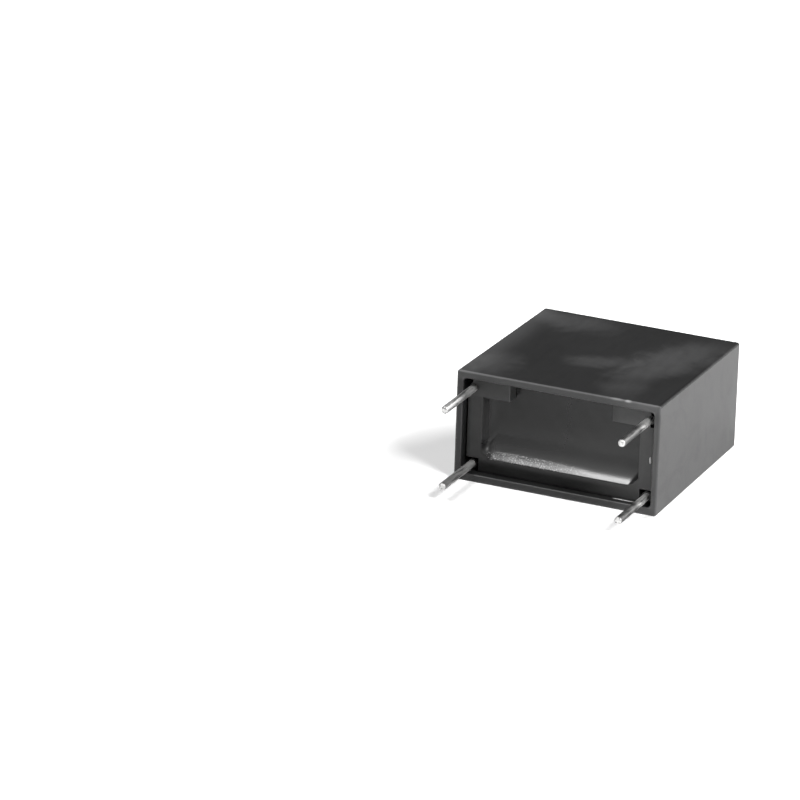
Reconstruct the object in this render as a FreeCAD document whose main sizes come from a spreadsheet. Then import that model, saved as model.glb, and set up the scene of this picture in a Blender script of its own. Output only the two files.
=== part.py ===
import FreeCAD, Part
import math
import os
from types import SimpleNamespace

import Sketcher
from FreeCAD import Placement, Rotation, Vector

# A small voltage transformer for a printed circuit board, cast in resin inside a moulded case.
#
# The part lies on a broad side, as it does loose on a table. X runs along its width, Z through its
# thickness, and Y into its depth. The origin is the middle of the case's rim, and the rim is the seating
# plane. The pins point along -Y, and the closed end of the case is at +Y.
# All lengths are in millimetres, and the draft is in degrees.

DIMENSIONS = [
    ("case_wall", 0.6, "wall at the two ends of the rim"),
    ("long_wall", 0.69, "wall along the long sides of the rim"),
    ("end_wall", 0.8, "wall at the closed end"),
    ("draft", 0.5, "mould draft on every side, inside and outside"),
    ("edge_radius", 0.22, "outside edges along the depth and round the closed end"),
    ("rim_radius", 0.12, "outside and inside edges of the rim"),
    ("inner_radius", 0.35, "upright corners inside the case"),
    ("frame_recess", 0.8, "rim to the face of the pin frame"),
    ("frame_clearance", 0.2, "pin frame to the case wall at its ends"),
    ("frame_fit", 0.08, "pin frame to the case wall along its long sides"),
    ("side_bar", 1.3, "width of the frame's bar at each end"),
    ("long_bar", 1.26, "width of the frame's bar along the lower side"),
    ("block_length", 2.6, "upper corner blocks, along X, past the side bars"),
    ("block_height", 1.66, "upper corner blocks, along Z"),
    ("bay_chamfer", 0.75, "lower corners of the open bay"),
    ("relief_depth", 1.3, "corner reliefs, below the frame's face"),
    ("relief_margin", 0.65, "pin axis to the inner walls of its relief"),
    ("upper_relief_margin", 0.1, "pin axis to the inner wall of an upper relief, along X"),
    ("collar_wall", 0.12, "collar that each pin stands in, past the wire"),
    ("collar_drop", 0.15, "frame's face down to the top of a collar"),
    ("bay_resin_depth", 1.45, "frame's face down to the resin in the bay"),
    ("gap_resin_depth", 0.65, "frame's face down to the resin round the frame"),
    ("resin_climb", 1.4, "height that the resin creeps up the bay's lower wall"),
    ("resin_lip", 0.06, "thickness of the resin's upper edge on that wall"),
    ("resin_edge", 0.1, "straight edge of the resin above its hollow"),
    ("core_cover", 1.0, "resin over the near end of the core"),
    ("end_cover", 0.85, "resin between the core and the closed end"),
    ("centre_leg", 4.8, "core: width of the middle leg"),
    ("outer_leg", 2.4, "core: width of each outer leg"),
    ("yoke_width", 2.4, "core: width of the yokes"),
    ("sheet_thickness", 0.35, "one lamination"),
    ("sheet_count", 9, "laminations in the stack"),
    ("core_clearance", 0.1, "core to the bobbin and the tape"),
    ("yoke_clearance", 0.2, "core to the pin frame"),
    ("tube_wall", 0.5, "bobbin: wall of the winding tube"),
    ("flange_thickness", 0.6, "bobbin: end flanges"),
    ("divider_thickness", 0.8, "bobbin: flange between the two windings"),
    ("flange_margin", 0.25, "bobbin: flange past the tape, along Z"),
    ("flange_clearance", 0.235, "bobbin: flange to the case at its rim, along Z"),
    ("section_length", 3.5, "one winding, along Y"),
    ("winding_build", 1.6, "depth of wire on the tube"),
    ("winding_corner", 0.8, "rounding of the coil's corners"),
    ("tape_thickness", 0.1, "insulating tape over a winding"),
    ("wire_radius", 0.33, "bare wire of a pin"),
    ("tin_coat", 0.02, "thickness of the tin that a pin is dipped in"),
    ("tin_stop", 0.2, "end of the tin to the seating plane"),
    ("pin_reach", 5.6, "seating plane to the tip of a pin"),
    ("pin_tail", 1.1, "pin past the bobbin's plate, inside"),
    ("pin_chamfer", 0.12, "cut ends of a pin"),
    ("pin_edge_x", 0.5, "pin axis to the side of the frame"),
    ("pin_edge_upper", 0.955, "upper pin axis to the upper edge of the frame"),
    ("pin_edge_lower", 0.555, "lower pin axis to the lower edge of the frame"),
    ("solder_foot", 0.22, "solder joint at its foot, past the wire"),
    ("solder_top", 0.09, "solder joint at its top, past the wire"),
    ("solder_height", 0.9, "solder joint"),
    ("lead_radius", 0.12, "insulated lead-out wires"),
    ("lead_clearance", 0.425, "core's face to the middle of a lead that passes it"),
    ("lead_rise", 0.5, "flange to where a lead leaves its winding, along Y"),
    ("lead_stop", 0.04, "end of a lead to its pin, filled with solder"),
]

doc = FreeCAD.newDocument("transformer")


class Size:
    """A number together with the expression that keeps it up to date in the document."""

    def __init__(self, value, text):
        self.value = value
        self.text = text

    @staticmethod
    def of(number):
        return number if isinstance(number, Size) else Size(number, str(number))

    def joined(self, sign, other, value):
        return Size(value, f"({self.text} {sign} {other.text})")

    def __add__(self, other):
        other = Size.of(other)
        return self.joined("+", other, self.value + other.value)

    def __sub__(self, other):
        other = Size.of(other)
        return self.joined("-", other, self.value - other.value)

    def __mul__(self, other):
        other = Size.of(other)
        return self.joined("*", other, self.value * other.value)

    def __truediv__(self, other):
        other = Size.of(other)
        return self.joined("/", other, self.value / other.value)

    def __neg__(self):
        return Size.of(0) - self


def fill_sheet():
    """Writes the driving dimensions into the spreadsheet and returns them by name."""
    sheet = doc.addObject("Spreadsheet::Sheet", "Sizes")
    for row, (alias, value, note) in enumerate(DIMENSIONS, 1):
        sheet.set(f"A{row}", alias)
        sheet.set(f"B{row}", str(value))
        sheet.set(f"C{row}", note)
        sheet.setAlias(f"B{row}", alias)
    doc.recompute()
    return SimpleNamespace(**{alias: Size(value, f"Sizes.{alias}") for alias, value, note in DIMENSIONS})


size = fill_sheet()
NOTHING = Size.of(0)
SAME_PLACE = 0.02
draft_slope = Size(math.tan(math.radians(size.draft.value)), "tan(Sizes.draft)")

# Half sizes across the core and the coil
leg_half_x = size.centre_leg / 2
stack_half_z = size.sheet_thickness * size.sheet_count / 2
hole_half_x = leg_half_x + size.core_clearance
hole_half_z = stack_half_z + size.core_clearance
tube_half_x = hole_half_x + size.tube_wall
tube_half_z = hole_half_z + size.tube_wall
wire_half_x = tube_half_x + size.winding_build
wire_half_z = tube_half_z + size.winding_build
tape_half_x = wire_half_x + size.tape_thickness
tape_half_z = wire_half_z + size.tape_thickness
flange_half_z = tape_half_z + size.flange_margin
leg_edge_near = tape_half_x + size.core_clearance
leg_edge_far = leg_edge_near + size.outer_leg

# Half sizes of the pin frame round the core, and of the case round the frame, at the rim
bay_half_x = leg_edge_far + size.yoke_clearance
frame_half_x = bay_half_x + size.side_bar
room_half_x = frame_half_x + size.frame_clearance
room_half_z = flange_half_z + size.flange_clearance
frame_half_z = room_half_z - size.frame_fit
case_half_x = room_half_x + size.case_wall
case_half_z = room_half_z + size.long_wall
bay_floor_z = size.long_bar - frame_half_z
block_edge_x = bay_half_x - size.block_length
block_edge_z = frame_half_z - size.block_height

# The pins
pin_x = frame_half_x - size.pin_edge_x
upper_pin_z = frame_half_z - size.pin_edge_upper
lower_pin_z = size.pin_edge_lower - frame_half_z
left_pins = [(-pin_x, upper_pin_z), (-pin_x, lower_pin_z)]
right_pins = [(pin_x, upper_pin_z), (pin_x, lower_pin_z)]
pin_places = left_pins + right_pins

# Depths below the seating plane
frame_face = size.frame_recess
collar_top = frame_face + size.collar_drop
relief_floor = frame_face + size.relief_depth
resin_level = frame_face + size.bay_resin_depth
resin_rise = resin_level - size.resin_climb
gap_level = frame_face + size.gap_resin_depth
core_near = resin_level + size.core_cover
window_near = core_near + size.yoke_width
plate_near = window_near + size.core_clearance
plate_far = plate_near + size.flange_thickness
divider_near = plate_far + size.section_length
divider_far = divider_near + size.divider_thickness
top_flange_near = divider_far + size.section_length
top_flange_far = top_flange_near + size.flange_thickness
window_far = top_flange_far + size.core_clearance
core_far = window_far + size.yoke_width
room_depth = core_far + size.end_cover
case_depth = room_depth + size.end_wall

# Where the leads leave their windings
lead_z = stack_half_z + size.lead_clearance
primary_level = plate_far + size.lead_rise
secondary_level = divider_far + size.lead_rise


def new_body(name):
    body = doc.addObject("PartDesign::Body", name)
    body.Label = name
    return body


def new_sketch(body, name, role, height):
    """A sketch on one of the body's own origin planes, moved along that plane's normal by height."""
    sketch = body.newObject("Sketcher::SketchObject", name)
    plane = next(p for p in body.Origin.OriginFeatures if p.Role == role)
    sketch.AttachmentSupport = (plane, [""])
    sketch.MapMode = "FlatFace"
    sketch.AttachmentOffset = Placement(Vector(0, 0, height.value), Rotation())
    sketch.setExpression("AttachmentOffset.Base.z", height.text)
    return sketch


def sketch_at_depth(body, name, depth):
    """A sketch across the part, seen from the pins, whose normal points out along the pins."""
    return new_sketch(body, name, "XZ_Plane", -depth)


def hold(sketch, kind, geometry, point, distance):
    """Ties one point of the sketch to the sketch's origin along X or Y."""
    constraint = Sketcher.Constraint(kind, -1, 1, geometry, point, distance.value)
    index = sketch.addConstraint(constraint)
    sketch.setExpression(f"Constraints[{index}]", distance.text)


def outline(sketch, corners):
    """A closed outline of straight lines through the corners."""
    first = sketch.GeometryCount
    count = len(corners)
    for i, (x, y) in enumerate(corners):
        next_x, next_y = corners[(i + 1) % count]
        start = Vector(x.value, y.value, 0)
        end = Vector(next_x.value, next_y.value, 0)
        sketch.addGeometry(Part.LineSegment(start, end), False)
    for i, (x, y) in enumerate(corners):
        after = first + (i + 1) % count
        sketch.addConstraint(Sketcher.Constraint("Coincident", first + i, 2, after, 1))
        hold(sketch, "DistanceX", first + i, 1, x)
        hold(sketch, "DistanceY", first + i, 1, y)


def rectangle(sketch, left, right, bottom, top):
    outline(sketch, [(left, bottom), (right, bottom), (right, top), (left, top)])


def middle_rectangle(sketch, half_x, half_y):
    rectangle(sketch, -half_x, half_x, -half_y, half_y)


def rounded_rectangle(sketch, half_x, half_y, radius):
    """A rectangle about the middle, whose four corners are arcs of the radius."""
    straight_x = half_x - radius
    straight_y = half_y - radius
    runs = [
        ((half_x, -straight_y), (half_x, straight_y)),
        ((straight_x, half_y), (-straight_x, half_y)),
        ((-half_x, straight_y), (-half_x, -straight_y)),
        ((-straight_x, -half_y), (straight_x, -half_y)),
    ]
    middles = [(straight_x, straight_y), (-straight_x, straight_y)]
    middles += [(-x, -y) for x, y in middles]
    for start, end in runs:
        points = [Vector(x.value, y.value, 0) for x, y in (start, end)]
        line = sketch.addGeometry(Part.LineSegment(*points), False)
        for point, (x, y) in enumerate((start, end), 1):
            hold(sketch, "DistanceX", line, point, x)
            hold(sketch, "DistanceY", line, point, y)
    for i, (x, y) in enumerate(middles):
        whole = Part.Circle(Vector(x.value, y.value, 0), Vector(0, 0, 1), radius.value)
        quarter = math.pi / 2
        arc = sketch.addGeometry(Part.ArcOfCircle(whole, i * quarter, (i + 1) * quarter), False)
        sketch.addConstraint(Sketcher.Constraint("Coincident", arc, 1, i, 2))
        sketch.addConstraint(Sketcher.Constraint("Coincident", arc, 2, (i + 1) % 4, 1))
        index = sketch.addConstraint(Sketcher.Constraint("Radius", arc, radius.value))
        sketch.setExpression(f"Constraints[{index}]", radius.text)


def circle(sketch, x, y, radius):
    centre = Vector(x.value, y.value, 0)
    geometry = sketch.addGeometry(Part.Circle(centre, Vector(0, 0, 1), radius.value), False)
    hold(sketch, "DistanceX", geometry, 3, x)
    hold(sketch, "DistanceY", geometry, 3, y)
    index = sketch.addConstraint(Sketcher.Constraint("Radius", geometry, radius.value))
    sketch.setExpression(f"Constraints[{index}]", radius.text)


def feature(body, kind, sketch, length, inward, taper=None):
    """A pad or pocket of the sketch, into the part or out of it, which narrows inward by taper."""
    made = body.newObject(f"PartDesign::{kind}", f"{sketch.Name}_{kind.lower()}")
    made.Profile = sketch
    made.Length = length.value
    made.setExpression("Length", length.text)
    along_normal = kind == "Pad"
    made.Reversed = inward if along_normal else not inward
    if taper:
        made.TaperAngle = -taper.value
        made.setExpression("TaperAngle", f"-{taper.text}")
    sketch.Visibility = False
    doc.recompute()
    return made


def pad(body, sketch, length, inward=True, taper=None):
    return feature(body, "Pad", sketch, length, inward, taper)


def pocket(body, sketch, length, inward=True, taper=None):
    return feature(body, "Pocket", sketch, length, inward, taper)


def ease_edges(body, kind, name, amount, wanted):
    """A fillet or chamfer on the edges of the body that wanted picks by their box."""
    base = body.Tip
    edges = [f"Edge{i}" for i, edge in enumerate(base.Shape.Edges, 1) if wanted(edge.BoundBox)]
    eased = body.newObject(f"PartDesign::{kind}", name)
    eased.Base = (base, edges)
    eased.setExpression("Radius" if kind == "Fillet" else "Size", amount.text)
    doc.recompute()
    return eased


def round_edges(body, name, radius, wanted):
    return ease_edges(body, "Fillet", name, radius, wanted)


def near(a, b):
    return abs(a - b) < SAME_PLACE


def lies_at_depth(box, depth):
    return near(box.YMin, depth) and near(box.YMax, depth)


def spans(low, high, start, end):
    return near(low, start) and near(high, end)


def mirrored(points):
    """The points of a right-hand half outline, followed by their mirror images in reverse."""
    return points + [(-x, z) for x, z in reversed(points)]


def make_room(body, depth):
    """The room inside the case, drafted and rounded like the case's inner walls, as a solid."""
    sketch = sketch_at_depth(body, f"{body.Name}_room", NOTHING)
    middle_rectangle(sketch, room_half_x, room_half_z)
    pad(body, sketch, depth, taper=size.draft)
    round_edges(body, f"{body.Name}_corners", size.inner_radius, lambda box: box.YLength > depth.value / 2)


# The case


def make_case():
    body = new_body("case")
    outside = sketch_at_depth(body, "case_outside", NOTHING)
    middle_rectangle(outside, case_half_x, case_half_z)
    pad(body, outside, case_depth, taper=size.draft)
    end = case_depth.value

    def on_outside(box):
        return box.YLength > end / 2 or lies_at_depth(box, end)

    round_edges(body, "case_edges", size.edge_radius, on_outside)

    room = sketch_at_depth(body, "case_room", NOTHING)
    middle_rectangle(room, room_half_x, room_half_z)
    pocket(body, room, room_depth, taper=size.draft)
    room_half = room_half_x.value

    def in_room(box):
        upright = near(box.YMin, 0) and near(box.YMax, room_depth.value)
        return upright and max(abs(box.XMin), abs(box.XMax)) < room_half + SAME_PLACE

    round_edges(body, "case_inner_corners", size.inner_radius, in_room)
    round_edges(body, "case_rim", size.rim_radius, lambda box: lies_at_depth(box, 0))
    return body


# The pin frame


def make_carrier():
    body = new_body("pin_carrier")
    face = sketch_at_depth(body, "carrier_outline", frame_face)
    right_half = [
        (bay_half_x - size.bay_chamfer, bay_floor_z),
        (bay_half_x, bay_floor_z + size.bay_chamfer),
        (bay_half_x, block_edge_z),
        (block_edge_x, block_edge_z),
        (block_edge_x, frame_half_z),
        (frame_half_x, frame_half_z),
        (frame_half_x, -frame_half_z),
    ]
    outline(face, mirrored(right_half))
    pad(body, face, plate_near - frame_face)

    reliefs = sketch_at_depth(body, "carrier_reliefs", frame_face)
    draw_reliefs(reliefs, frame_half_x, frame_half_z)
    pocket(body, reliefs, size.relief_depth)

    collars = sketch_at_depth(body, "carrier_collars", relief_floor)
    for x, z in pin_places:
        circle(collars, x, z, size.wire_radius + size.collar_wall)
    pad(body, collars, relief_floor - collar_top, inward=False)

    bores = sketch_at_depth(body, "carrier_bores", frame_face)
    for x, z in pin_places:
        circle(bores, x, z, size.wire_radius)
    pocket(body, bores, plate_near - frame_face)
    return body


def draw_reliefs(sketch, edge_x, edge_z):
    """The four corner reliefs, from beside each pin out to the given edges."""
    upper_x = pin_x + size.upper_relief_margin
    lower_x = pin_x - size.relief_margin
    upper_z = upper_pin_z - size.relief_margin
    lower_z = lower_pin_z + size.relief_margin
    rectangle(sketch, upper_x, edge_x, upper_z, edge_z)
    rectangle(sketch, -edge_x, -upper_x, upper_z, edge_z)
    rectangle(sketch, lower_x, edge_x, -edge_z, lower_z)
    rectangle(sketch, -edge_x, -lower_x, -edge_z, lower_z)


# The bobbin, its windings and their tape


def make_bobbin():
    body = new_body("bobbin")
    plate = sketch_at_depth(body, "bobbin_plate", plate_near)
    notch_z = stack_half_z + size.core_clearance
    corner = [(tape_half_x, notch_z), (frame_half_x, notch_z), (frame_half_x, frame_half_z)]
    right_half = [(x, -z) for x, z in reversed(corner)] + corner
    outline(plate, mirrored(right_half))
    pad(body, plate, size.flange_thickness)

    tube = sketch_at_depth(body, "bobbin_tube", plate_near)
    middle_rectangle(tube, tube_half_x, tube_half_z)
    pad(body, tube, top_flange_far - plate_near)
    for name, depth, thickness in (
        ("divider", divider_near, size.divider_thickness),
        ("top_flange", top_flange_near, size.flange_thickness),
    ):
        flange = sketch_at_depth(body, f"bobbin_{name}", depth)
        middle_rectangle(flange, tape_half_x, flange_half_z)
        pad(body, flange, thickness)

    hole = sketch_at_depth(body, "bobbin_hole", plate_near)
    middle_rectangle(hole, hole_half_x, hole_half_z)
    pocket(body, hole, top_flange_far - plate_near)

    bores = sketch_at_depth(body, "bobbin_bores", plate_near)
    for x, z in pin_places:
        circle(bores, x, z, size.wire_radius)
    pocket(body, bores, size.flange_thickness)
    return body


def make_layer(name, start, end, half, corner, core_half, core_corner=None):
    """A closed band round the bobbin's tube: a coil, or the tape on it."""
    body = new_body(name)
    outside = sketch_at_depth(body, f"{name}_outside", start)
    rounded_rectangle(outside, *half, corner)
    pad(body, outside, end - start)
    inside = sketch_at_depth(body, f"{name}_inside", start)
    if core_corner:
        rounded_rectangle(inside, *core_half, core_corner)
    else:
        middle_rectangle(inside, *core_half)
    pocket(body, inside, end - start)
    return body


def make_tape(name, start, end, level, side):
    """Tape round a winding, with a hole where each of its two leads comes out."""
    tape_half = (tape_half_x, tape_half_z)
    tape_corner = size.winding_corner + size.tape_thickness
    body = make_layer(name, start, end, tape_half, tape_corner, wire_half, size.winding_corner)
    holes = new_sketch(body, f"{name}_holes", "YZ_Plane", tape_half_x * side)
    circle(holes, level, lead_z, size.lead_radius)
    circle(holes, level, -lead_z, size.lead_radius)
    cut = body.newObject("PartDesign::Pocket", f"{name}_lead_holes")
    cut.Profile = holes
    depth = size.tape_thickness * 2
    cut.Length = depth.value
    cut.setExpression("Length", depth.text)
    cut.Reversed = side < 0
    doc.recompute()
    return body


# The core, sheet by sheet: the steel E pieces are put in from both ends by turns


def make_lamination(name, index, corners):
    body = new_body(name)
    level = size.sheet_thickness * index - stack_half_z
    sheet = new_sketch(body, f"{name}_outline", "XY_Plane", level)
    outline(sheet, corners)
    made = body.newObject("PartDesign::Pad", f"{name}_pad")
    made.Profile = sheet
    made.Length = size.sheet_thickness.value
    made.setExpression("Length", size.sheet_thickness.text)
    doc.recompute()
    return body


def e_corners(back, front, tips):
    """An E of steel: back and front bound its yoke, and its three legs end at tips."""
    right_half = [
        (leg_edge_far, back),
        (leg_edge_far, tips),
        (leg_edge_near, tips),
        (leg_edge_near, front),
        (leg_half_x, front),
        (leg_half_x, tips),
    ]
    return mirrored(right_half)


def i_corners(start, end):
    return mirrored([(leg_edge_far, start), (leg_edge_far, end)])


def make_core():
    sheets = {}
    for i in range(int(size.sheet_count.value)):
        number = i + 1
        if i % 2 == 0:
            e_shape = e_corners(core_near, window_near, window_far)
            i_shape = i_corners(window_far, core_far)
        else:
            e_shape = e_corners(core_far, window_far, window_near)
            i_shape = i_corners(core_near, window_near)
        for kind, corners in (("e_lamination", e_shape), ("i_lamination", i_shape)):
            name = f"{kind}_{number}"
            sheets[name] = make_lamination(name, i, corners)
    return sheets


# The pins, and what joins them to the windings


def make_pin(name, x, z):
    """A wire from its tip to its tail, dipped in tin from the tip to just short of the rim."""
    body = new_body(name)
    wire = sketch_at_depth(body, f"{name}_wire", -size.pin_reach)
    circle(wire, x, z, size.wire_radius)
    pad(body, wire, size.pin_reach + plate_far + size.pin_tail)
    tin = sketch_at_depth(body, f"{name}_tin", -size.pin_reach)
    circle(tin, x, z, size.wire_radius + size.tin_coat)
    pad(body, tin, size.pin_reach - size.tin_stop)
    ends = (-size.pin_reach.value, (plate_far + size.pin_tail).value)

    def on_end(box):
        return any(lies_at_depth(box, end) for end in ends)

    ease_edges(body, "Chamfer", f"{name}_ends", size.pin_chamfer, on_end)
    return body


def make_lead(name, x, z, level):
    """A lead from its winding, out past the core, down to the solder's level, and on to its pin."""
    side = math.copysign(1, x.value)
    start_z = math.copysign(lead_z.value, z.value)
    clear_x = side * (leg_edge_near.value + leg_edge_far.value) / 2
    solder_level = (plate_far + size.lead_rise).value
    points = [Vector(side * wire_half_x.value, level.value, start_z), Vector(clear_x, level.value, start_z)]
    if not near(level.value, solder_level):
        points.append(Vector(clear_x, solder_level, start_z))
    pin_axis = Vector(x.value, solder_level, z.value)
    heading = (pin_axis - points[-1]).normalize()
    points.append(pin_axis - heading * (size.wire_radius + size.lead_stop).value)
    section = Part.Wire(Part.Circle(points[0], points[1] - points[0], size.lead_radius.value).toShape())
    mitred = 1
    lead = doc.addObject("Part::Feature", name)
    lead.Label = name
    lead.Shape = Part.makePolygon(points).makePipeShell([section], True, False, mitred)
    lead.Placement = Placement()
    return lead


def make_solder(name, x, z, pin, lead):
    """A cone of solder on the bobbin's plate, round the tail of the pin and the end of the lead."""
    cone = doc.addObject("Part::Cone", f"{name}_cone")
    cone.Placement = Placement(Vector(), Rotation(Vector(1, 0, 0), -90))
    for prop, value in (
        ("Radius1", size.wire_radius + size.solder_foot),
        ("Radius2", size.wire_radius + size.solder_top),
        ("Height", size.solder_height),
        ("Placement.Base.x", x),
        ("Placement.Base.y", plate_far),
        ("Placement.Base.z", z),
    ):
        cone.setExpression(prop, value.text)
    held = doc.addObject("Part::MultiFuse", f"{name}_held")
    held.Shapes = [pin, lead]
    joint = doc.addObject("Part::Cut", name)
    joint.Label = name
    joint.Base = cone
    joint.Tool = held
    doc.recompute()
    return joint


# The resin that fills the case round all of them


def make_resin(inner_pieces):
    block = new_body("resin_block")
    make_room(block, room_depth)
    air = sketch_at_depth(block, "resin_air", NOTHING)
    middle_rectangle(air, case_half_x, case_half_z)
    pocket(block, air, resin_rise)

    lip = size.resin_lip
    wall_end = bay_floor_z + size.bay_chamfer + lip * 2
    hollow = sketch_at_depth(block, "resin_hollow", resin_rise)
    right_half = [
        (bay_half_x - size.bay_chamfer, bay_floor_z + lip),
        (bay_half_x + lip, wall_end),
        (bay_half_x + lip, block_edge_z + lip),
        (block_edge_x + lip, block_edge_z + lip),
        (block_edge_x + lip, case_half_z),
    ]
    outline(hollow, mirrored(right_half))
    pocket(block, hollow, size.resin_climb)
    level = resin_level.value

    def on_lower_wall(box):
        return lies_at_depth(box, level) and box.ZMax < wall_end.value + SAME_PLACE

    round_edges(block, "resin_meniscus", size.resin_climb - size.resin_edge, on_lower_wall)

    gap = sketch_at_depth(block, "resin_gap", resin_rise)
    middle_rectangle(gap, case_half_x, case_half_z)
    middle_rectangle(gap, frame_half_x, frame_half_z)
    pocket(block, gap, gap_level - resin_rise)

    reliefs = sketch_at_depth(block, "resin_reliefs", resin_rise)
    draw_reliefs(reliefs, case_half_x, case_half_z)
    pocket(block, reliefs, relief_floor - resin_rise)

    filled = doc.addObject("Part::MultiFuse", "resin_filled")
    filled.Shapes = inner_pieces
    resin = doc.addObject("Part::Cut", "resin")
    resin.Label = "resin"
    resin.Base = block
    resin.Tool = filled
    doc.recompute()
    return resin


wire_half = (wire_half_x, wire_half_z)
tube_half = (tube_half_x, tube_half_z)
corner = size.winding_corner

pieces = {"case": make_case(), "pin_carrier": make_carrier(), "bobbin": make_bobbin()}
for name, start, end, level, side in (
    ("primary", plate_far, divider_near, primary_level, -1),
    ("secondary", divider_far, top_flange_near, secondary_level, 1),
):
    pieces[f"{name}_winding"] = make_layer(f"{name}_winding", start, end, wire_half, corner, tube_half)
    pieces[f"{name}_tape"] = make_tape(f"{name}_tape", start, end, level, side)
pieces.update(make_core())
for number, (x, z) in enumerate(pin_places, 1):
    level = primary_level if x.value < 0 else secondary_level
    pin = make_pin(f"pin_{number}", x, z)
    lead = make_lead(f"lead_{number}", x, z, level)
    solder = make_solder(f"solder_{number}", x, z, pin, lead)
    pieces.update({pin.Label: pin, lead.Label: lead, solder.Label: solder})
inner_pieces = [piece for name, piece in pieces.items() if name != "case"]
pieces["resin"] = make_resin(inner_pieces)
doc.recompute()

for item in doc.Objects:
    if "Invalid" in item.State or "Error" in item.State:
        raise RuntimeError(f"{item.Name} failed: {item.State}")
for name, piece in pieces.items():
    if piece.Shape.isNull() or not piece.Shape.isValid() or not piece.Shape.Solids:
        raise RuntimeError(f"{name} has no valid solid")

os.makedirs("parts", exist_ok=True)
for name, piece in pieces.items():
    piece.Shape.exportStep(f"parts/{name}.step")
    print(f"{name}: {len(piece.Shape.Solids)} solid, {piece.Shape.Volume:.2f} mm3")
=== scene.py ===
"""Looks of a small resin-cast transformer for a printed circuit board, lying on a broad side.

The open side with its four pins faces -Y, and Z is up. Lengths are in millimetres until they reach a mesh,
a lamp or the camera, where MM turns them into metres. Left and right are as seen from the pins' side.
"""

import bmesh
import bpy
import numpy as np
from mathutils import Matrix, Vector


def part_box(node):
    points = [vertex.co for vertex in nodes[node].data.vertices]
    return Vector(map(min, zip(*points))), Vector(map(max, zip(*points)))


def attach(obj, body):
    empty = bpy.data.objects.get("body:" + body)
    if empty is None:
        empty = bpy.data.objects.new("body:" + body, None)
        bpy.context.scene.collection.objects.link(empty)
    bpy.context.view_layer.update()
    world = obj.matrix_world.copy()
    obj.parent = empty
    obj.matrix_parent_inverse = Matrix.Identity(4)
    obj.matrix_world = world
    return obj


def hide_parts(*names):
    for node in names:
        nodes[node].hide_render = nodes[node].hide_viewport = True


MM = 0.001
BODY = "root"
RNG = np.random.default_rng(7)

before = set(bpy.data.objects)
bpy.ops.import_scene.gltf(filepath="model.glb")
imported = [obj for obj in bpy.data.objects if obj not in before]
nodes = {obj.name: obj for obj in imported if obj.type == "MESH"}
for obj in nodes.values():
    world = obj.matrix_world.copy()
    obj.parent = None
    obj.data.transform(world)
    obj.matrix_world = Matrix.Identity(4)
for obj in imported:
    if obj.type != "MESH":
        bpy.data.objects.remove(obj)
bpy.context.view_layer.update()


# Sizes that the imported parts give


def box_mm(node):
    """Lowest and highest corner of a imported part, in millimetres."""
    low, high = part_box(node)
    return np.array(low) / MM, np.array(high) / MM


CASE_LOW, CASE_HIGH = box_mm("case")
FRAME_LOW, FRAME_HIGH = box_mm("pin_carrier")
PIN_NAMES = [name for name in sorted(nodes) if name.startswith("pin_") and name != "pin_carrier"]

# Sizes of the moulded parts and the resin that their boxes don't give
DRAFT_SLOPE = np.tan(np.radians(0.5))
LONG_WALL = 0.69
END_WALL = 0.6
SIDE_BAR = 1.3
LONG_BAR = 1.26
BLOCK_LENGTH = 2.6
BLOCK_HEIGHT = 1.66
BAY_CHAMFER = 0.75
RESIN_DEPTH = 1.45
RESIN_CLIMB = 1.42
WIRE_PITCH = 0.12

# Places that follow from them
PIN_TIP = box_mm(PIN_NAMES[0])[0][1]
FRAME_FACE = FRAME_LOW[1]
RESIN_LEVEL = FRAME_FACE + RESIN_DEPTH
OPENING_HALF_X = CASE_HIGH[0] - END_WALL
OPENING_HALF_Z = CASE_HIGH[2] - LONG_WALL
BAY_HALF = FRAME_HIGH[0] - SIDE_BAR
BAY_FLOOR = FRAME_LOW[2] + LONG_BAR
BAY_CEILING = OPENING_HALF_Z - 0.02
BLOCK_EDGE_X = BAY_HALF - BLOCK_LENGTH
BLOCK_EDGE_Z = FRAME_HIGH[2] - BLOCK_HEIGHT


# Shader maths


class Value:
    """A number socket in a node tree, with operators that add Math nodes."""

    def __init__(self, tree, socket):
        self.tree = tree
        self.socket = socket

    def _math(self, operation, *others, clamp=False):
        settings = {"operation": operation, "use_clamp": clamp}
        return self.tree.value("ShaderNodeMath", settings, dict(enumerate((self, *others))))

    def __add__(self, other):
        return self._math("ADD", other)

    def __radd__(self, other):
        return self._math("ADD", other)

    def __sub__(self, other):
        return self._math("SUBTRACT", other)

    def __rsub__(self, other):
        return self.tree.value("ShaderNodeMath", {"operation": "SUBTRACT"}, {0: other, 1: self})

    def __mul__(self, other):
        return self._math("MULTIPLY", other)

    def __rmul__(self, other):
        return self._math("MULTIPLY", other)

    def __truediv__(self, other):
        return self._math("DIVIDE", other)

    def __pow__(self, other):
        return self._math("POWER", other)

    def absolute(self):
        return self._math("ABSOLUTE")

    def at_most(self, other):
        return self._math("MINIMUM", other)

    def at_least(self, other):
        return self._math("MAXIMUM", other)

    def sine(self):
        return self._math("SINE")

    def clamped(self):
        return self._math("ADD", 0.0, clamp=True)

    def step(self, low, high):
        """Rises smoothly from 0 at low to 1 at high."""
        inputs = {"Value": self, "From Min": low, "From Max": high}
        return self.tree.value("ShaderNodeMapRange", {"interpolation_type": "SMOOTHSTEP"}, inputs)

    def past(self, low, high):
        """Falls smoothly from 1 at low to 0 at high."""
        return 1.0 - self.step(low, high)


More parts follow.
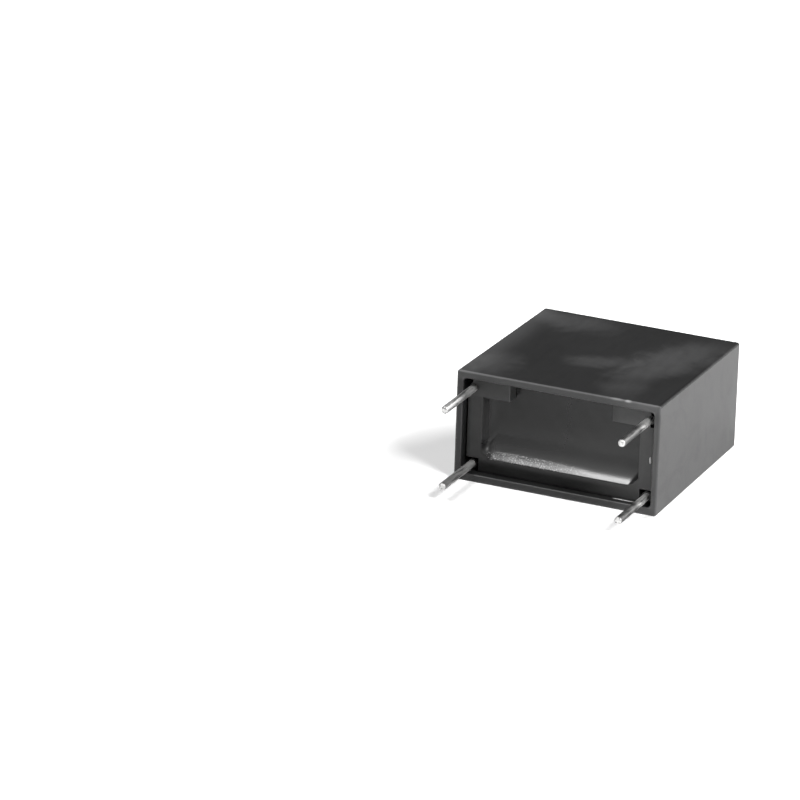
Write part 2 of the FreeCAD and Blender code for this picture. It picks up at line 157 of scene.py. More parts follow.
class Tree:
    """A node tree, with one method that makes any node."""

    def __init__(self, tree):
        self.nodes = tree.nodes
        self.links = tree.links

    def node(self, kind, settings=None, inputs=None):
        """Any node: its settings first, then the values or links of its sockets."""
        made = self.nodes.new(kind)
        for key, setting in (settings or {}).items():
            setattr(made, key, setting)
        for key, given in (inputs or {}).items():
            self.feed(made.inputs[key], given)
        return made

    def feed(self, socket, given):
        """Links a socket or a Value to the socket, or sets a number or colour on it."""
        if isinstance(given, Value):
            given = given.socket
        if isinstance(given, bpy.types.NodeSocket):
            self.links.new(given, socket)
        else:
            socket.default_value = given

    def value(self, kind, settings=None, inputs=None, output=0):
        return Value(self, self.node(kind, settings, inputs).outputs[output])

    def vectors(self, operation, inputs, output=0):
        return self.node("ShaderNodeVectorMath", {"operation": operation}, inputs).outputs[output]

    def grey(self, level, tint=(1.0, 1.0, 1.0)):
        """A colour of the tint, as bright as level."""
        channels = {index: level * share for index, share in enumerate(tint)}
        return self.node("ShaderNodeCombineColor", inputs=channels).outputs[0]


class Finish(Tree):
    """One material, made of nodes round its Principled shader."""

    def __init__(self, name, **constants):
        self.material = bpy.data.materials.new(name)
        self.material.use_nodes = True
        super().__init__(self.material.node_tree)
        self.shader = self.nodes["Principled BSDF"]
        for socket, number in constants.items():
            self.shader.inputs[socket.replace("_", " ")].default_value = number

    def place(self):
        """Object coordinates, in millimetres, as a vector and as three numbers."""
        coordinates = self.node("ShaderNodeTexCoord").outputs["Object"]
        scaled = self.vectors("SCALE", {0: coordinates, "Scale": 1 / MM})
        split = self.node("ShaderNodeSeparateXYZ", inputs={0: scaled})
        return scaled, [Value(self, axis) for axis in split.outputs]

    def noise(self, vector, scale, detail=3.0, roughness=0.55, distortion=0.0):
        """Fractal noise from 0 to 1, whose features are about 1 / scale millimetres."""
        inputs = {"Vector": vector, "Scale": scale, "Detail": detail}
        inputs.update({"Roughness": roughness, "Distortion": distortion})
        return self.value("ShaderNodeTexNoise", inputs=inputs)

    def stretched(self, vector, stretch):
        return self.vectors("MULTIPLY", {0: vector, 1: stretch})

    def shifted(self, vector, offset):
        return self.vectors("ADD", {0: vector, 1: offset})

    def mix(self, factor, first, second):
        """The colour first where factor is 0, and second where it is 1."""
        colours = {6: (*first, 1.0), 7: (*second, 1.0)}
        return self.node("ShaderNodeMix", {"data_type": "RGBA"}, {0: factor, **colours}).outputs[2]

    def colour(self, given):
        self.feed(self.shader.inputs["Base Color"], given)

    def rough(self, given):
        self.feed(self.shader.inputs["Roughness"], given)

    def coat(self, given):
        self.feed(self.shader.inputs["Coat Weight"], given)

    def bump(self, height, depth):
        """Feeds a bump of the height, which is depth millimetres from 0 to 1, to the normal."""
        inputs = {"Height": height, "Distance": depth * MM, "Strength": 1.0}
        self.feed(self.shader.inputs["Normal"], self.node("ShaderNodeBump", inputs=inputs).outputs[0])

    def blend(self, factor, colour, roughness, index):
        """Blends in a second, plain finish where the factor is 1."""
        inputs = {"Base Color": colour, "Roughness": roughness, "IOR": index}
        second = self.node("ShaderNodeBsdfPrincipled", inputs=inputs)
        shaders = {0: factor, 1: self.shader.outputs[0], 2: second.outputs[0]}
        mixed = self.node("ShaderNodeMixShader", inputs=shaders)
        self.feed(self.nodes["Material Output"].inputs["Surface"], mixed.outputs[0])

    def paint(self, *objects):
        for obj in objects:
            obj.data.materials.clear()
            obj.data.materials.append(self.material)
            obj.data.polygons.foreach_set("material_index", np.zeros(len(obj.data.polygons), np.int32))


def nearest_edge(x, y, z, taper):
    """Distance, in millimetres, from a point on the case's outside to the nearest edge of the case.

    The case is a box whose sides lean in by the taper. A point on its outside has three distances to the
    three nearest sides, of which the least is nought and the middle one is the distance to an edge.
    """
    centre = (CASE_LOW + CASE_HIGH) / 2
    half = (CASE_HIGH - CASE_LOW) / 2
    first = half[0] - (x - centre[0]).absolute() - taper
    second = half[1] - (y - centre[1]).absolute()
    third = half[2] - (z - centre[2]).absolute() - taper
    least = first.at_most(second).at_most(third)
    most = first.at_least(second).at_least(third)
    return first + second + third - least - most


def smudge(x, y, centre, half, turn, softness):
    """A soft ellipse in the plane of x and y: 0 past its half sizes, and 1 inside its soft edge."""
    cos, sin = np.cos(turn), np.sin(turn)
    along = ((x - centre[0]) * cos + (y - centre[1]) * sin) / half[0]
    across = ((y - centre[1]) * cos - (x - centre[0]) * sin) / half[1]
    return ((along * along + across * across) ** 0.5).past(1.0 - softness, 1.0)


# Finishes

COOL = (1.0, 1.0, 1.01)
WARM = (1.0, 0.995, 0.985)

# Heights and places where the case's upper broad side and its right side begin and are full
UPPER_FROM, UPPER_TO = 4.8, 5.0
RIGHT_FROM, RIGHT_TO = 9.1, 9.3
SCUFF_TO = 9.45

# Smudges on the upper broad side, which also paint reflections: strength, then centre, half sizes, turn and
# softness
SMUDGE_AND_REFLECTION_MARKS = (
    (1.0, (5.7, 10.8), (9.0, 3.8), 1.3, 0.7),
    (0.8, (0.8, 8.8), (5.0, 2.2), 0.5, 0.9),
    (0.6, (4.9, 3.0), (2.8, 4.6), 0.0, 0.9),
    (0.9, (-6.0, 17.0), (6.0, 3.0), 0.0, 0.8),
    (0.8, (-7.4, 2.6), (3.4, 5.0), 0.0, 0.9),
)

# The nick in the front edge of that side, and the bruise beside it, in the same way
NICK_MARKS = (
    (1.0, (6.45, 0.0), (0.42, 0.34), 0.0, 0.9),
    (0.4, (5.4, 0.0), (0.8, 0.3), 0.0, 0.9),
)


def strongest(x, y, marks):
    """The strongest, at each point, of several smudges."""
    result = 0.0
    for strength, *shape in marks:
        result = (strength * smudge(x, y, *shape)).at_least(result)
    return result


def make_case_plastic():
    """Grey filled plastic off a lightly sparked mould.

    The upper broad side is dull and smudged by handling, its smudges also painting reflections, with a
    painted highlight along its front edge and a nick in that edge. The edges are worn paler, which also
    paints their highlights. The rim grows paler to the right and upwards and along its inner edge, as
    painted light and a painted highlight. The inner walls are painted paler near the opening, as painted
    light, and the right side is painted darker upwards, as painted shade.
    """
    f = Finish("case_plastic", IOR=1.43)
    vector, (x, y, z) = f.place()
    grain = f.noise(vector, 9.0, detail=4.0, roughness=0.6)
    cloud = f.noise(f.stretched(vector, (1.0, 0.8, 1.0)), 0.16, distortion=0.8)
    film = f.noise(f.shifted(vector, (3.1, 8.2, 1.7)), 0.30, detail=5.0, roughness=0.6, distortion=1.2)
    fibre = f.noise(f.stretched(vector, (1.5, 0.3, 1.0)), 1.0, detail=4.0, roughness=0.6)

    taper = y * DRAFT_SLOPE
    upper_side = (z + taper).step(UPPER_FROM, UPPER_TO)
    right_side = x.step(RIGHT_FROM, RIGHT_TO)
    scuffed = (x + taper).step(RIGHT_FROM, SCUFF_TO) * upper_side

    edge = nearest_edge(x, y, z, taper)
    ragged = edge + 0.10 * (f.noise(vector, 2.6, detail=4.0) - 0.5)
    # Edges worn paler, which also paints their highlights
    wear_and_highlight = ragged.past(0.0, 0.26)
    # Painted highlight along the upper side's front edge
    front_edge_highlight = edge.past(0.05, 0.20) * y.past(0.0, 0.3)

    out_of_opening = (x.absolute() - OPENING_HALF_X).at_least(z.absolute() - OPENING_HALF_Z)
    # Painted light: the inner walls are paler near the opening
    inner_wall = out_of_opening.past(-0.06, -0.01) * y.past(3.0, 5.0)
    # Painted light on the rim face: paler upwards and to the right, with a painted highlight along its inner
    # edge
    rim_painted_light = 0.002 + 0.018 * z.step(4.0, 4.5) + 0.034 * x.step(4.0, 9.2)
    rim_painted_light = rim_painted_light + 0.026 * out_of_opening.absolute().past(0.0, 0.13)

    # Smudges from handling that also paint reflections on the upper side, and a paler strip along its left
    # edge as a painted reflection
    smudge_and_reflection = strongest(x + 4.0 * (film - 0.5), y + 5.0 * (cloud - 0.5), SMUDGE_AND_REFLECTION_MARKS)
    smudge_and_reflection = smudge_and_reflection * (0.30 + 0.75 * film + 0.45 * fibre)
    upper_tone = 0.026 * smudge_and_reflection + 0.030 * x.past(-9.6, -6.6) + 0.006 * (fibre - 0.5)
    upper_tone = upper_tone + 0.20 * strongest(x, y, NICK_MARKS) + 0.045 * front_edge_highlight

    tone = 0.0135 + 0.006 * (cloud - 0.5) + 0.004 * (grain - 0.5)
    tone = tone + 0.022 * inner_wall + 0.035 * wear_and_highlight * (1.0 - scuffed) + rim_painted_light * y.past(0.03, 0.2)
    # The upper side gets its own tone; the right side is painted darker, more so upwards, as painted shade
    tone = tone + upper_side * upper_tone - right_side * (0.001 + 0.006 * z.step(-3.0, 4.0))
    f.colour(f.grey(tone, COOL))
    f.blend(upper_side, f.grey(tone + 0.004, COOL), 0.55, 1.10)

    rough = 0.33 + 0.04 * film.step(0.42, 0.68) + 0.03 * (grain - 0.5)
    f.rough(rough + 0.05 * upper_side * smudge_and_reflection + 0.2 * wear_and_highlight + 0.4 * scuffed)
    f.bump(grain * 0.7 + f.noise(vector, 2.2, detail=2.0) * 0.5, 0.005)
    return f


def make_frame_plastic():
    """The same plastic, a little darker, with fine flow marks along the bars.

    It grows paler upwards and to the right, as painted light and shade. The corner blocks and the right bar
    are painted paler, the left block's end and the cut faces beside the bay on the left carry painted light,
    and the left part of the lower bar is made dull and dark, as painted shade.
    """
    f = Finish("frame_plastic", IOR=1.41)
    vector, (x, y, z) = f.place()
    grain = f.noise(vector, 7.0, detail=4.0)
    flow = f.noise(f.stretched(vector, (0.5, 3.0, 1.6)), 0.9)

    above_edge = z.step(BLOCK_EDGE_Z - 0.1, BLOCK_EDGE_Z + 0.1)
    left_block = x.past(-BLOCK_EDGE_X - 0.1, -BLOCK_EDGE_X) * above_edge
    right_block = x.step(BLOCK_EDGE_X, BLOCK_EDGE_X + 0.8) * above_edge
    left_block_end_highlight = (x + BLOCK_EDGE_X).absolute().past(0.0, 0.14) * z.step(BLOCK_EDGE_Z - 0.1, BLOCK_EDGE_Z)
    left_bay_side_light = (x + BAY_HALF).absolute().past(0.03, 0.08) * y.step(FRAME_FACE + 0.05, FRAME_FACE + 0.12)
    right_bar = x.step(BAY_HALF - 0.2, BAY_HALF + 0.4) * x.past(FRAME_HIGH[0] - 0.3, FRAME_HIGH[0] - 0.1)
    bar_painted_shade = x.past(1.0, 8.6) * z.past(-3.6, -2.9) * (0.85 + 0.5 * (flow - 0.5))

    # Painted shade and light: darker downwards and to the left, paler upwards and to the right
    tone = 0.006 + 0.010 * z.step(-4.3, -2.6) + 0.014 * x.step(-9.0, 9.0)
    tone = tone + 0.008 * (flow - 0.5) + 0.004 * (grain - 0.5)
    # Painted light on the corner blocks, more on the right one, and on the right bar
    tone = tone + 0.008 * left_block + 0.016 * right_block + 0.010 * right_bar
    # Painted highlight on the left block's end and painted light on the cut face beside the bay on the left
    f.colour(f.grey(tone + 0.05 * left_block_end_highlight + 0.03 * left_bay_side_light))
    # Painted shade: the left part of the lower bar is made dull and dark
    f.blend(bar_painted_shade, f.grey(0.008), 0.5, 1.09)
    f.rough(0.36 + 0.12 * (flow - 0.5))
    f.bump(grain * 0.6 + flow * 0.6, 0.010)
    return f


def make_resin():
    """Near-black casting resin: glossy, faintly rippled, with a smooth skin over its hollow lower wall.

    Fine pale bubbles, which also paint glints, show along the foot of that wall, from the left to past the
    middle. The resin is painted paler to the right and on its left wall, as painted light.
    """
    f = Finish("resin", IOR=1.43, Coat_Roughness=0.28)
    place, (x, _, z) = f.place()
    vector = f.shifted(place, (31.37, 17.73, 23.91))
    ripple = f.noise(vector, 0.5, detail=2.0)
    grain = f.noise(vector, 5.5)
    bubbles = f.noise(vector, 7.0, detail=2.0)

    above_floor = z - BAY_FLOOR
    from_left = x + BAY_HALF
    left_wall_light = from_left.past(0.1, 0.7) * above_floor.step(1.0, 2.0)
    low_wall = above_floor.past(0.2, 1.6)
    corner = low_wall * from_left.past(0.6, 1.3)
    glinting_bubbles = above_floor.past(0.3, 0.8) * x.step(-7.2, -6.6) * x.past(-2.0, 3.5)

    # Painted light: paler to the right and on the left wall
    tone = 0.004 + 0.014 * x.step(-7.4, 7.4) + 0.02 * left_wall_light + 0.002 * (grain - 0.5)
    # Pale bubbles whose dots also paint glints
    f.colour(f.grey(tone + 0.16 * glinting_bubbles * bubbles.step(0.54, 0.66)))
    f.rough(0.20 + 0.06 * (ripple - 0.5) + 0.08 * low_wall * (grain - 0.5) + 0.5 * corner)
    f.coat(0.8 * low_wall * (1.0 - corner))
    height = ripple * 0.8 + grain * (0.02 + 0.10 * low_wall)
    f.bump(height + bubbles * (0.12 * low_wall + 2.2 * glinting_bubbles), 0.03)
    return f


def make_glint_resin():
    """Set resin painted pale grey, as a painted glint."""
    f = Finish("glint_resin", IOR=1.5)
    vector, _ = f.place()
    grain = f.noise(vector, 8.0)
    f.colour(f.grey(0.42 + 0.3 * (grain - 0.5)))
    f.rough(0.3 + 0.1 * (grain - 0.5))
    return f


def make_tinned_wire():
    """Tin over copper-clad wire, with long soft streaks and rougher patches.

    The cut tips and the roots are bright. Between them the pins on the right are painted darker, as painted
    shade.
    """
    f = Finish("tinned_wire", Metallic=1.0)
    vector, (x, y, _) = f.place()
    streak = f.noise(f.stretched(vector, (5.0, 0.35, 5.0)), 1.0, detail=4.0)
    patch = f.noise(vector, 1.1, detail=4.0, roughness=0.6)
    pit = f.noise(vector, 6.0)

    on_right = x.step(-1.0, 1.0)
    tip = y.past(PIN_TIP + 0.05, PIN_TIP + 0.22)
    root = y.step(-2.2, -0.4)
    right_pin_shade = on_right * (1.0 - tip) * (1.0 - root)
    # Painted shade: the pins on the right are darker between the tips and the roots
    tone = 0.35 - 0.27 * right_pin_shade + 0.36 * tip + (0.12 + 0.13 * on_right) * root
    f.colour(f.grey(tone * (1.0 - 0.55 * streak.step(0.53, 0.60)) + 0.16 * (patch - 0.5), WARM))
    f.rough((0.66 - 0.2 * tip + 0.26 * (patch - 0.5) + 0.2 * (streak - 0.5)).clamped())
    f.bump(streak * 0.5 + pit * 0.5 + patch * 0.6, 0.02)
    return f


def make_bobbin_plastic():
    """Dark moulded nylon."""
    f = Finish("bobbin_plastic", IOR=1.5)
    vector, _ = f.place()
    grain = f.noise(vector, 6.0, detail=4.0)
    f.colour(f.grey(0.035 + 0.010 * (grain - 0.5)))
    f.rough(0.5 + 0.1 * (grain - 0.5))
    f.bump(grain, 0.01)
    return f


def make_winding():
    """Layers of fine enamelled wire, lacquered: its turns run round, one pitch apart, red in the valleys."""
    f = Finish("enamelled_winding", Metallic=0.85, Coat_Weight=0.5, Coat_Roughness=0.2)
    vector, (_, y, _) = f.place()
    drift = f.noise(f.stretched(vector, (0.4, 0.05, 0.4)), 1.0, detail=2.0)
    turn = ((y + 0.10 * drift) * (2 * np.pi / WIRE_PITCH)).sine() * 0.5 + 0.5
    patch = f.noise(vector, 1.3)
    f.colour(f.mix(turn * 0.7 + patch * 0.3, (0.24, 0.06, 0.02), (0.70, 0.27, 0.10)))
    f.rough(0.28 + 0.15 * (patch - 0.5))
    f.bump(turn, 0.03)
    return f


def make_lead_wire():
    """Single enamelled wire."""
    f = Finish("enamelled_lead", Metallic=0.85, Coat_Weight=0.5, Coat_Roughness=0.15)
    vector, _ = f.place()
    patch = f.noise(vector, 2.0)
    f.colour(f.mix(patch, (0.45, 0.14, 0.05), (0.72, 0.28, 0.11)))
    f.rough(0.25 + 0.12 * (patch - 0.5))
    return f


def make_tape():
    """Amber polyester tape: smooth, with the turns of wire showing faintly through."""
    f = Finish("polyester_tape", IOR=1.6, Coat_Weight=0.6, Coat_Roughness=0.1)
    vector, (_, y, _) = f.place()
    wave = (y * (2 * np.pi / WIRE_PITCH)).sine() * 0.5 + 0.5
    patch = f.noise(vector, 0.8)
    f.colour(f.mix(patch * 0.7 + wave * 0.1, (0.62, 0.36, 0.03), (0.88, 0.62, 0.10)))
    f.rough(0.22 + 0.1 * (patch - 0.5))
    f.bump(patch + wave * 0.1, 0.02)
    return f


def make_core_steel():
    """Punched steel sheet, annealed blue-grey, with drawn lines along X."""
    f = Finish("core_steel", Metallic=1.0)
    vector, _ = f.place()
    drawn = f.noise(f.stretched(vector, (0.3, 6.0, 6.0)), 1.2)
    scale = f.noise(vector, 0.7, detail=4.0)
    f.colour(f.mix(scale, (0.24, 0.26, 0.30), (0.50, 0.50, 0.52)))
    f.rough(0.34 + 0.2 * (drawn - 0.5))
    f.bump(drawn, 0.01)
    return f


def make_solder():
    """Solder that set with a slightly frosted, dimpled skin."""
    f = Finish("solder", Metallic=1.0)
    vector, _ = f.place()
    frost = f.noise(vector, 4.0, detail=4.0)
    f.colour(f.grey(0.66 + 0.15 * (frost - 0.5)))
    f.rough(0.3 + 0.25 * (frost - 0.5))
    f.bump(frost, 0.02)
    return f


# Surfaces worked out here


def add_surface(name, points, keep=None, closed=False):
    """A mesh through a grid of points (u, v, xyz, in millimetres), whose coinciding points are merged.

    keep says which of the grid's cells to make, and closed joins its last column to its first.
    """
    rows, columns = points.shape[:2]
    index = np.arange(rows * columns).reshape(rows, columns)
    if closed:
        index = np.concatenate([index, index[:, :1]], axis=1)
    faces = np.stack([index[:-1, :-1], index[1:, :-1], index[1:, 1:], index[:-1, 1:]], -1)
    faces = faces[keep] if keep is not None else faces.reshape(-1, 4)
    used, faces = np.unique(faces, return_inverse=True)
    mesh = bpy.data.meshes.new(name)
    mesh.from_pydata(points.reshape(-1, 3)[used] * MM, [], faces.reshape(-1, 4))
    merged = bmesh.new()
    merged.from_mesh(mesh)
    bmesh.ops.remove_doubles(merged, verts=merged.verts, dist=1e-7)
    merged.to_mesh(mesh)
    merged.free()
    mesh.shade_smooth()
    obj = bpy.data.objects.new(name, mesh)
    bpy.context.scene.collection.objects.link(obj)
    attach(obj, BODY)
    return obj


CREASE = 0.2


def smooth_least(*distances):
    """The least of several distances, with its creases rounded over CREASE.

    It is minus CREASE times the logarithm of the sum of the exponentials of each -distance / CREASE. The
    greatest exponent is taken out of the sum, so that the sum stays small.
    """
    exponents = np.stack([-distance / CREASE for distance in distances])
    top = exponents.max(0)
    return -CREASE * (top + np.log(np.exp(exponents - top).sum(0)))


def lines_between(start, end, spacing):
    """Even places from start to end, no further apart than the spacing."""
    return np.linspace(start, end, max(2, int(np.ceil(abs(end - start) / spacing)) + 1))


def lines_through(stops, spacing):
    """Places from the first stop to the last, with one at each stop between them."""
    runs = [lines_between(start, end, spacing) for start, end in zip(stops, stops[1:])]
    return np.unique(np.concatenate(runs).round(6))


SKIN_LIFT = 0.04
SKIN_THICKNESS = 0.03
SKIN_SPACING = 0.055
FLOOR_REACH = 1.15
CUT_REACH = 0.42
LEFT_REACH = 0.5
SMALL_CLIMB = 0.05
SMALL_REACH = 0.35
RIPPLE_HEIGHT = 0.005
RIPPLE_FREE = 0.8
FACE_GAP = 0.02
FACE_SOFTNESS = 0.04


def make_resin_surface():
    """The resin that shows in the bay, as a thin skin over the cast block.

    Over the bay's plan (x, z), the surface stands a little over the resin's level. It is drawn up by
    RESIN_CLIMB times a falling exponential of the distance to the lower wall, the cut corners or the left
    wall, each over its own reach, and by a small one of the distance to every other wall. A slow ripple of
    three sine waves dies out towards the walls. A soft limit, a logarithm of a sum of exponentials, keeps it
    just inside the frame's face. Below the corner blocks the rows are drawn in to follow the cut corners.
    """
    x_lines = lines_through((-BAY_HALF, -BLOCK_EDGE_X, BLOCK_EDGE_X, BAY_HALF), SKIN_SPACING)
    z_lines = lines_through((BAY_FLOOR, BLOCK_EDGE_Z, BAY_CEILING), SKIN_SPACING)
    x, z = np.meshgrid(x_lines, z_lines, indexing="ij")
    side = BAY_HALF - np.abs(x)
    cut_floor = BAY_FLOOR + np.maximum(BAY_CHAMFER - side, 0)
    share = (BLOCK_EDGE_Z - z) / (BLOCK_EDGE_Z - BAY_FLOOR)
    z = np.where(z < BLOCK_EDGE_Z, BLOCK_EDGE_Z - share * (BLOCK_EDGE_Z - cut_floor), z)

    corner_cut = (side + z - BAY_FLOOR - BAY_CHAMFER) / np.sqrt(2)
    block = np.hypot(np.maximum(BLOCK_EDGE_X - np.abs(x), 0), np.maximum(BLOCK_EDGE_Z - z, 0))
    drawn = smooth_least((z - BAY_FLOOR) / FLOOR_REACH, corner_cut / CUT_REACH, (x + BAY_HALF) / LEFT_REACH)
    drawn = np.maximum(drawn, 0.0)
    other = np.maximum(smooth_least(side, BAY_CEILING - z, block), 0.0)
    climb = RESIN_CLIMB * np.exp(-drawn) + SMALL_CLIMB * np.exp(-other / SMALL_REACH)
    ripple = np.sin(0.9 * x + 0.4) + np.sin(1.7 * z - 0.6 * x + 1.0) + 0.6 * np.sin(2.9 * x + 2.3 * z)
    ripple = RIPPLE_HEIGHT * ripple * np.clip(np.minimum(drawn, other) / RIPPLE_FREE, 0, 1)
    limit = FRAME_FACE + FACE_GAP
    y = RESIN_LEVEL - SKIN_LIFT - climb + ripple
    y = limit + FACE_SOFTNESS * np.logaddexp(0, (y - limit) / FACE_SOFTNESS)

    middle_x = (x[:-1, :-1] + x[1:, 1:]) / 2
    middle_z = (z[:-1, :-1] + z[1:, 1:]) / 2
    under_block = (np.abs(middle_x) > BLOCK_EDGE_X) & (middle_z > BLOCK_EDGE_Z)
    surface = add_surface("resin_surface", np.stack([x, y, z], -1), keep=~under_block)
    shell = surface.modifiers.new("thickness", "SOLIDIFY")
    shell.thickness = SKIN_THICKNESS * MM
    shell.offset = -1
    return surface


PIN_SIDES = 48
CAP_RINGS = 10
CAP_LENGTH = 0.24
CAP_POWER = 2.6
TIN_COAT = 0.02
TIN_STOP = -0.2
TIN_EDGE = 0.03
EDGE_REACH = 4 * TIN_EDGE
# How far the tin stays inside the pin's box, so that its wander doesn't leave it
TIN_INSET = 0.006


def make_pin(name):
    """A tinned pin: a surface of revolution about the line through its box's middle.

    Its ends are superellipses that close on the axis. Between them its radius is the wire's, plus the tin's
    over the free length, plus a slow wander of the tin, made of two waves along the pin and round it.
    """
    low, high = box_mm(name)
    middle = (low + high) / 2
    coated = (high[0] - low[0]) / 2
    share = np.sin(np.linspace(0, np.pi / 2, CAP_RINGS))
    cap = CAP_LENGTH * (1 - (1 - share**CAP_POWER) ** (1 / CAP_POWER))
    shaft = np.concatenate([
        lines_between(low[1] + CAP_LENGTH, TIN_STOP - EDGE_REACH, 0.15)[1:],
        lines_between(TIN_STOP - EDGE_REACH, TIN_STOP + EDGE_REACH, TIN_EDGE)[1:],
        lines_between(TIN_STOP + EDGE_REACH, high[1] - CAP_LENGTH, 0.8)[1:-1],
    ])
    along = np.concatenate([low[1] + cap, shaft, high[1] - cap[::-1]])
    width = np.concatenate([share, np.ones(len(shaft)), share[::-1]])
    y, angle = np.meshgrid(along, np.linspace(0, 2 * np.pi, PIN_SIDES, endpoint=False), indexing="ij")
    phase = RNG.uniform(0, 2 * np.pi, 3)
    tinned = 1 / (1 + np.exp((y - TIN_STOP) / TIN_EDGE))
    wander = 0.005 * np.sin(1.3 * y + phase[0]) * np.cos(angle + phase[1])
    wander = wander + 0.003 * np.sin(3.1 * y + 2 * angle + phase[2])
    radius = width[:, None] * (coated - TIN_COAT + (TIN_COAT - TIN_INSET + wander) * tinned)
    x = middle[0] + radius * np.cos(angle)
    z = middle[2] + radius * np.sin(angle)
    pin = add_surface(name + "_tinned", np.stack([x, y, z], -1), closed=True)
    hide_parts(name)
    return pin


# Beads of resin painted pale as glints, one on the frame's right bar and one along the wall under its lower
# bar: their centres and half sizes
RESIN_BEADS = {
    "resin_fleck": ((8.43, 0.79, -0.31), (0.09, 0.05, 0.30)),
    "resin_thread": ((6.15, 0.66, -4.34), (0.95, 0.05, 0.035)),
}


def make_bead(name, centre, size):
    """A drop of set resin: an ellipsoid about Y, swelled by the cosine of three times the polar angle."""
    polar = np.linspace(0, np.pi, 15)
    round_y = np.linspace(0, 2 * np.pi, 24, endpoint=False)
    t, p = np.meshgrid(polar, round_y, indexing="ij")
    swell = 1 + 0.15 * np.cos(3 * t)
    points = np.stack([np.sin(t) * np.cos(p), -np.cos(t), np.sin(t) * np.sin(p)], -1)
    points = points * np.array(size) * swell[..., None] + np.array(centre)
    return add_surface(name, points, closed=True)


# The parts


def nodes_named(beginning="", ending=""):
    return [node for name, node in nodes.items() if name.startswith(beginning) and name.endswith(ending)]


make_case_plastic().paint(nodes["case"])
make_frame_plastic().paint(nodes["pin_carrier"])
make_resin().paint(nodes["resin"], make_resin_surface())
make_glint_resin().paint(*[make_bead(name, centre, size) for name, (centre, size) in RESIN_BEADS.items()])
make_tinned_wire().paint(*[nodes[name] for name in PIN_NAMES], *[make_pin(name) for name in PIN_NAMES])
make_bobbin_plastic().paint(nodes["bobbin"])
make_winding().paint(*nodes_named(ending="_winding"))
make_tape().paint(*nodes_named(ending="_tape"))
make_core_steel().paint(*nodes_named("e_lamination"), *nodes_named("i_lamination"))
make_solder().paint(*nodes_named("solder_"))
make_lead_wire().paint(*nodes_named("lead_"))


# Floor, world, lamps and camera

FLOOR_HALF = 30.0
FLOOR_WHITE = (0.86, 0.86, 0.86, 1.0)
SEEN_GLOW = 0.21
FAR_GLOW = 0.9
FAR_FROM, FAR_TO = 60.0, 220.0

PALE_SIDE = (-0.38, -0.80, 0.46)
FRONT = 1.1
DIM = 0.05

LIT_POINT = Vector((0.0, 9.0, 0.0))
LAMPS = (
    # name, direction from the part, distance, width and height, level
    ("front_right", (0.64, -0.36, 0.70), 320, (80, 80), 0.84),
    ("rear_right", (0.55, 0.76, 0.36), 320, (150, 130), 2.1),
    ("front_upper", (-0.38, -0.36, 0.85), 260, (130, 40), 0.42),
)

PHOTO_PIXELS = 800
FOCAL_PIXELS = 6178.5
SENSOR = 36.0
YAW, PITCH, ROLL = np.radians([23.75, 20.42, -1.86])
# The rim's lower left corner from the camera: to the right, downwards and ahead
CORNER_RIGHT, CORNER_DOWN, CORNER_AHEAD = 4.643, 6.813, 536.96


def make_floor():
    """A wide white table top that keeps the shadow.

    The camera sees it a little brighter than the lamps make it. Away from the part it turns plain white for
    the camera and in reflections, so no horizon shows. It isn't sampled as a lamp.
    """
    low = CASE_LOW[2] * MM
    mesh = bpy.data.meshes.new("table_top")
    corners = [(-1, -1), (1, -1), (1, 1), (-1, 1)]
    mesh.from_pydata([(x * FLOOR_HALF, y * FLOOR_HALF, low) for x, y in corners], [], [(0, 1, 2, 3)])
    floor = bpy.data.objects.new("table_top", mesh)
    bpy.context.scene.collection.objects.link(floor)
    f = Finish("table_white", Roughness=1.0, Specular_IOR_Level=0.0, Emission_Strength=1.0)
    f.colour(FLOOR_WHITE)
    rays = f.node("ShaderNodeLightPath").outputs
    camera = Value(f, rays["Is Camera Ray"])
    glossy = Value(f, rays["Is Glossy Ray"])
    through = Value(f, rays["Is Transmission Ray"])
    _, (x, y, _) = f.place()
    far = ((x * x + y * y) ** 0.5).step(FAR_FROM, FAR_TO)
    glow = camera * SEEN_GLOW + camera.at_least(glossy.at_least(through)) * FAR_GLOW * far
    f.feed(f.shader.inputs["Emission Color"], f.grey(glow))
    f.material.cycles.emission_sampling = "NONE"
    f.paint(floor)


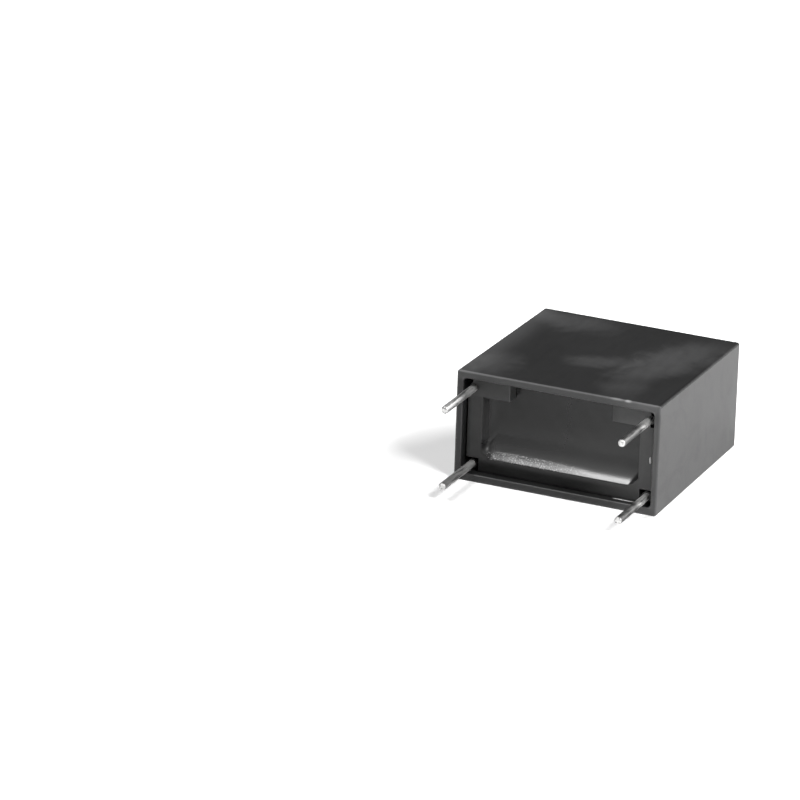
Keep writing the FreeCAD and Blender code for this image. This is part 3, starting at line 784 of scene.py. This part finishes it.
def make_world():
    """A dim studio, pale in front on the left and at the horizon, and white where the camera sees it."""
    world = bpy.data.worlds.new("studio")
    world.use_nodes = True
    tree = Tree(world.node_tree)
    direction = tree.node("ShaderNodeTexCoord").outputs["Generated"]
    height = tree.value("ShaderNodeSeparateXYZ", inputs={0: direction}, output=2)
    towards = Value(tree, tree.vectors("DOT_PRODUCT", {0: direction, 1: PALE_SIDE}, output=1))
    pale = (DIM + (FRONT - DIM) * towards.step(0.78, 0.94)).at_least(height.past(0.06, 0.16))
    camera = Value(tree, tree.node("ShaderNodeLightPath").outputs["Is Camera Ray"])
    tree.feed(tree.nodes["Background"].inputs[0], tree.grey(pale.at_least(camera)))
    bpy.context.scene.world = world


def add_lamp(name, direction, distance, size, level):
    """A soft lamp that shines on the part from the direction.

    Its power is the level times pi squared times the squared distance. At level 1 that gives a white surface
    that faces the lamp the brightness 1.
    """
    data = bpy.data.lights.new(name, "AREA")
    data.shape = "RECTANGLE"
    data.size, data.size_y = (side * MM for side in size)
    data.energy = level * np.pi**2 * (distance * MM) ** 2
    away = Vector(direction).normalized()
    place = (LIT_POINT + away * distance) * MM
    lamp = bpy.data.objects.new(name, data)
    lamp.matrix_world = Matrix.Translation(place) @ away.to_track_quat("Z", "Y").to_matrix().to_4x4()
    bpy.context.scene.collection.objects.link(lamp)


def make_camera():
    """The photograph's view: from the right, in front and above, through a long lens."""
    ahead = np.array([-np.sin(YAW) * np.cos(PITCH), np.cos(YAW) * np.cos(PITCH), -np.sin(PITCH)])
    level_right = np.array([np.cos(YAW), np.sin(YAW), 0.0])
    level_down = np.cross(ahead, level_right)
    right = np.cos(ROLL) * level_right + np.sin(ROLL) * level_down
    down = -np.sin(ROLL) * level_right + np.cos(ROLL) * level_down
    place = CASE_LOW - (right * CORNER_RIGHT + down * CORNER_DOWN + ahead * CORNER_AHEAD)
    data = bpy.data.cameras.new("camera")
    data.sensor_width = SENSOR
    data.lens = SENSOR * FOCAL_PIXELS / PHOTO_PIXELS
    data.clip_start = 0.01
    data.clip_end = 100.0
    camera = bpy.data.objects.new("camera", data)
    pose = np.eye(4)
    pose[:3] = np.stack([right, -down, -ahead, place * MM], axis=1)
    camera.matrix_world = Matrix(pose.tolist())
    bpy.context.scene.collection.objects.link(camera)
    bpy.context.scene.camera = camera


make_floor()
make_world()
for lamp in LAMPS:
    add_lamp(*lamp)
make_camera()

bpy.context.scene.view_settings.view_transform = "Standard"
